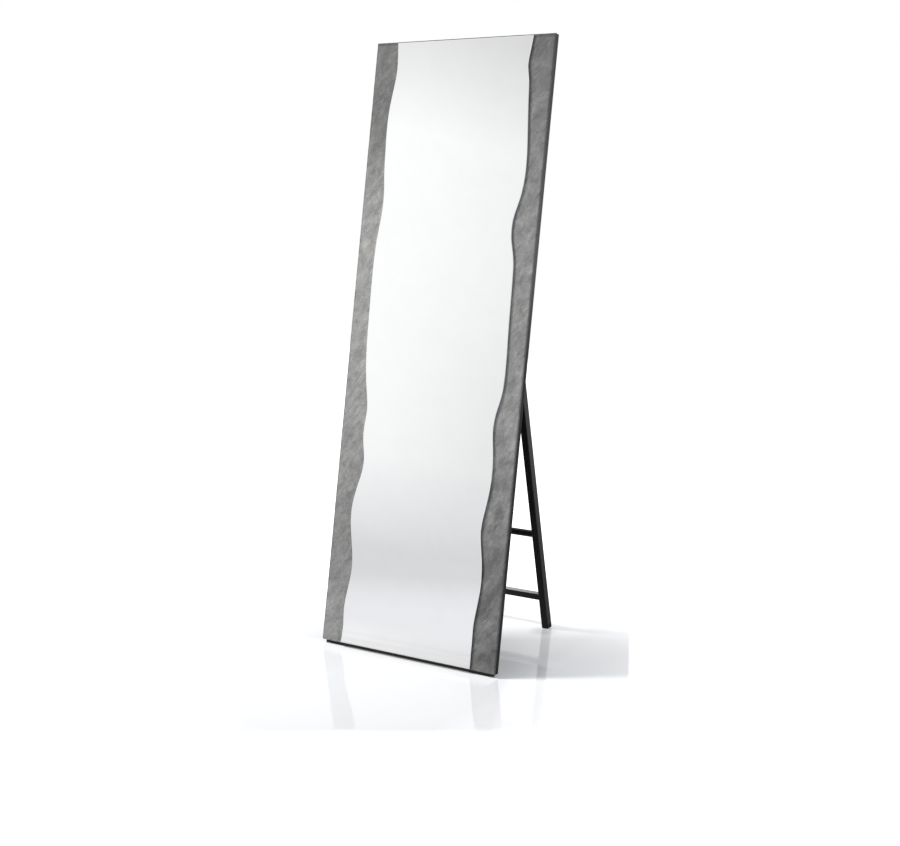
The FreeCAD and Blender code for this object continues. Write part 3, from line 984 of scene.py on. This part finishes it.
def add_key_light():
    """The one lamp, high at the left, whose shadow falls behind the panel to the right."""
    lamp = bpy.data.lights.new("key", "AREA")
    lamp.shape = "DISK"
    lamp.size = key_size
    lamp.energy = key_power
    lamp.spread = key_spread
    lamp.color = key_colour
    key = bpy.data.objects.new("key", lamp)
    key.location = key_place
    key.rotation_euler = (key_aim - key_place).to_track_quat("-Z", "Y").to_euler()
    key.visible_glossy = False
    key.visible_camera = False
    bpy.context.scene.collection.objects.link(key)


def glow_to_camera(s, place):
    """Painted light and shade on the floor: how much lighter than a plain one it looks to the camera.
    """
    parts = s.xyz(place)
    x, y = parts["X"], parts["Y"]
    away = s.measure("DISTANCE", place, shadow_middle)
    forward = s.measure("DOT_PRODUCT", place, front_step)
    aside = s.measure("DOT_PRODUCT", place, side_step)
    glow = s.add(s.span(away, *near_glow), s.span(away, *far_glow))
    before_panel = s.times(s.span(y, *panel_foot), s.span(x, *panel_side))
    # Painted light on the floor just before the panel's foot
    painted_light_before_panel = s.times(s.span(y, *before_panel_glow), before_panel)
    before_shadow = s.maths("MAXIMUM", s.span(forward, *shadow_front), before_panel)
    glow = s.add(glow, s.times(s.span(aside, *reflection_side_glow), before_shadow))
    # Painted shade behind the panel, with painted light where it ends, and two small painted steps to
    # the right
    behind = s.add(s.span(y, *painted_shade_zone_start), s.span(y, *painted_shade_zone_end))
    behind = s.add(behind, s.span(y, *painted_shade_rear_step))
    behind = s.times(behind, s.span(x, *painted_shade_zone_fade))
    behind = s.add(behind, s.span(x, *right_step))
    right = s.add(s.span(x, *far_right_step), s.span(forward, *shadow_edge_glow))
    # Painted contact shadow on the floor before the right foot
    painted_contact_shadow = s.span(s.measure("DISTANCE", place, foot_front), *painted_foot_contact_shadow)
    glow = s.add(glow, s.add(s.add(behind, right), s.add(painted_light_before_panel, painted_contact_shadow)))
    glow = s.add(s.maths("MAXIMUM", glow, 0.0), s.span(forward, *reflection_cut_glow))
    return s.add(glow, s.span(aside, *shadow_cut_glow))


def glow_to_mirror(s, place):
    """How much lighter than a plain one the floor looks in the mirror and in gloss."""
    parts = s.xyz(place)
    x, y = parts["X"], parts["Y"]
    far = s.measure("LENGTH", place)
    tilt = s.span(s.maths("DIVIDE", x, y), *mirror_tilt)
    tilt = s.times(tilt, s.span(far, *tilt_end))
    tilt = s.times(tilt, s.span(far, *tilt_start))
    glow = s.add(s.span(far, *mirror_glow), tilt)
    glow = s.times(s.maths("MAXIMUM", glow, 0.0), s.span(y, *front_fade))
    return s.add(glow, s.times(s.span(far, *mirror_rear_glow), s.span(y, *rear_start)))


def add_floor():
    """A pale, slightly glossy floor, with light of its own where the photo's floor is lighter."""
    corners = [(x * floor_reach, y * floor_reach, 0) for x, y in ((-1, -1), (1, -1), (1, 1), (-1, 1))]
    mesh = bpy.data.meshes.new("floor")
    mesh.from_pydata(corners, [], [(0, 1, 2, 3)])
    floor = bpy.data.objects.new("floor", mesh)
    bpy.context.scene.collection.objects.link(floor)
    s = Surface("pale_floor_painted_light_and_shade", roughness=0.07)
    place = s.spot()
    parts = s.xyz(place)
    x, y = parts["X"], parts["Y"]
    from_camera, bounced = s.rays()

    to_camera = s.times(glow_to_camera(s, place), from_camera)
    to_mirror = s.times(glow_to_mirror(s, place), bounced)
    s.put(s.shader, "Emission Color", rgba(1.0))
    s.put(s.shader, "Emission Strength", s.add(to_camera, to_mirror))

    forward = s.measure("DOT_PRODUCT", place, front_step)
    direct = s.times(from_camera, s.span(forward, *gloss_cut_off))
    gloss = s.maths("MAXIMUM", s.span(y, *gloss_near_panel), direct)
    gloss = s.times(gloss, s.span(y, *gloss_rear_fade))
    s.put(s.shader, "Specular IOR Level", gloss)

    far = s.measure("LENGTH", place)
    near_tone = s.span(x, *near_tone_across)
    dimmed = s.mix(1.0, rgba(floor_in_mirror), s.span(far, *near_tone_end, near_tone, 1.0), "MULTIPLY")
    colour = s.mix(bounced, rgba(floor_colour), dimmed)
    floor.data.materials.append(s.finish(base_color=colour))


def add_world():
    """White to the camera, an even grey to matt surfaces, and a soft studio to gloss and mirror."""
    world = bpy.data.worlds.new("studio")
    world.use_nodes = True
    bpy.context.scene.world = world
    s = Nodes(world.node_tree)
    parts = s.xyz(s.node("ShaderNodeTexCoord").outputs["Generated"])
    height = s.span(parts["Z"], *haze_heights)
    azimuth = s.maths("ARCTAN2", s.times(parts["X"], -1.0), s.times(parts["Y"], -1.0))

    slant = s.span_degrees(azimuth, *slant_azimuths)
    slant = s.times(slant, s.span(height, *slant_heights))
    haze = s.ramp(s.add(height, slant), haze_tones)

    fall = s.times(s.span_degrees(azimuth, *fall_azimuths), s.span(height, *fall_heights))
    near_side = s.span_degrees(azimuth, *dark_gap_near_side)
    far_side = s.span_degrees(azimuth, *dark_gap_far_side)
    dark_gap = s.maths("MAXIMUM", near_side, far_side)
    shade = s.times(s.maths("SUBTRACT", 1.0, fall), dark_gap)
    zone = s.times(s.span(height, *tilt_low_heights), s.span(height, *tilt_high_heights))
    shade = s.add(shade, s.times(zone, s.span_degrees(azimuth, *tilt_azimuths)))

    studio = s.mix(1.0, haze, shade, "MULTIPLY")
    studio = s.mix(s.span_degrees(azimuth, *white_side), studio, rgba(1.0))
    front = s.span_degrees(s.maths("ABSOLUTE", azimuth), *front_half)
    studio = s.mix(front, rgba(1.0), studio)
    from_camera, bounced = s.rays()
    colour = s.mix(bounced, rgba(ambient), studio)
    colour = s.mix(from_camera, colour, rgba(1.0))
    s.put(s.tree.nodes["Background"], "Color", colour)


mirror_pane()
slate_panel()
dress_frame()
add_camera()
add_key_light()
add_floor()
add_world()
bpy.context.scene.view_settings.view_transform = "Standard"
